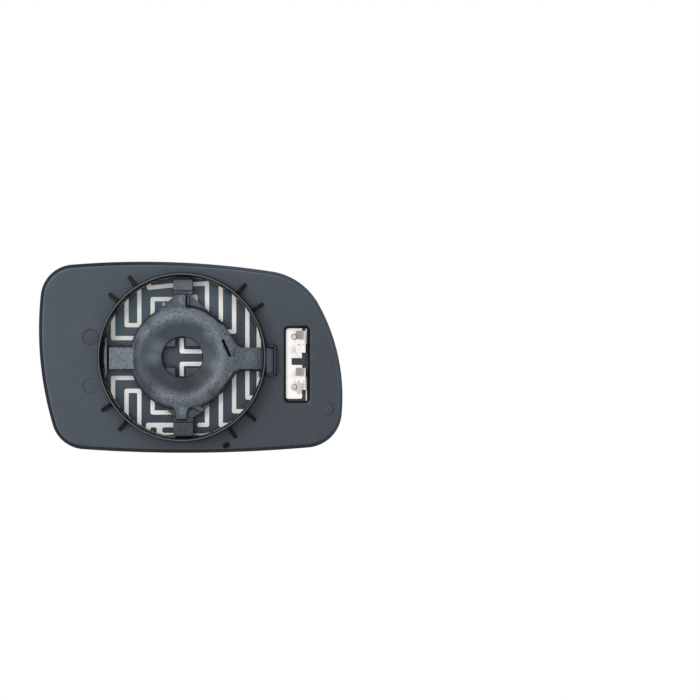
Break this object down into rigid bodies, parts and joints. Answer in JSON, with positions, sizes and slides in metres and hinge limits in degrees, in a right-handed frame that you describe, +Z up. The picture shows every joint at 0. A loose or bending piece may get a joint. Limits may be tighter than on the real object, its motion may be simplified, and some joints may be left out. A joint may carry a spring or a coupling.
{
  "type": "heated door mirror glass with back plate",
  "caption": "Convex car door mirror glass with a wide angle zone, held in a moulded back plate with a locating ring, dished socket, heater film and blade terminals.",
  "frame": {"origin": "on the axis of the locating ring, half way down the round recess in the dished socket", "axes": "+Z up as fitted in the mirror housing, -Y the way the mirror faces, +Y out of the socket towards the mirror drive, +X to the left as seen from behind"},
  "size_m": [0.178, 0.0128, 0.1123],
  "materials": {
    "mirror_glass": "blue tinted mirror",
    "heater_film": "satin film",
    "heater_track": "printed conductor, matt",
    "adhesive_sheet": "matt",
    "back_plate": "matt moulded",
    "terminal": "tin plated",
    "rivet": "satin"
  },
  "bodies": {
    "root": {"mirror_glass": "mirror_glass", "heater_film": "heater_film", "heater_track": "heater_track", "adhesive_sheet": "adhesive_sheet", "back_plate": "back_plate", "terminal_upper": "terminal", "terminal_lower": "terminal", "rivet_upper": "rivet", "rivet_lower": "rivet"}
  },
  "joints": []
}
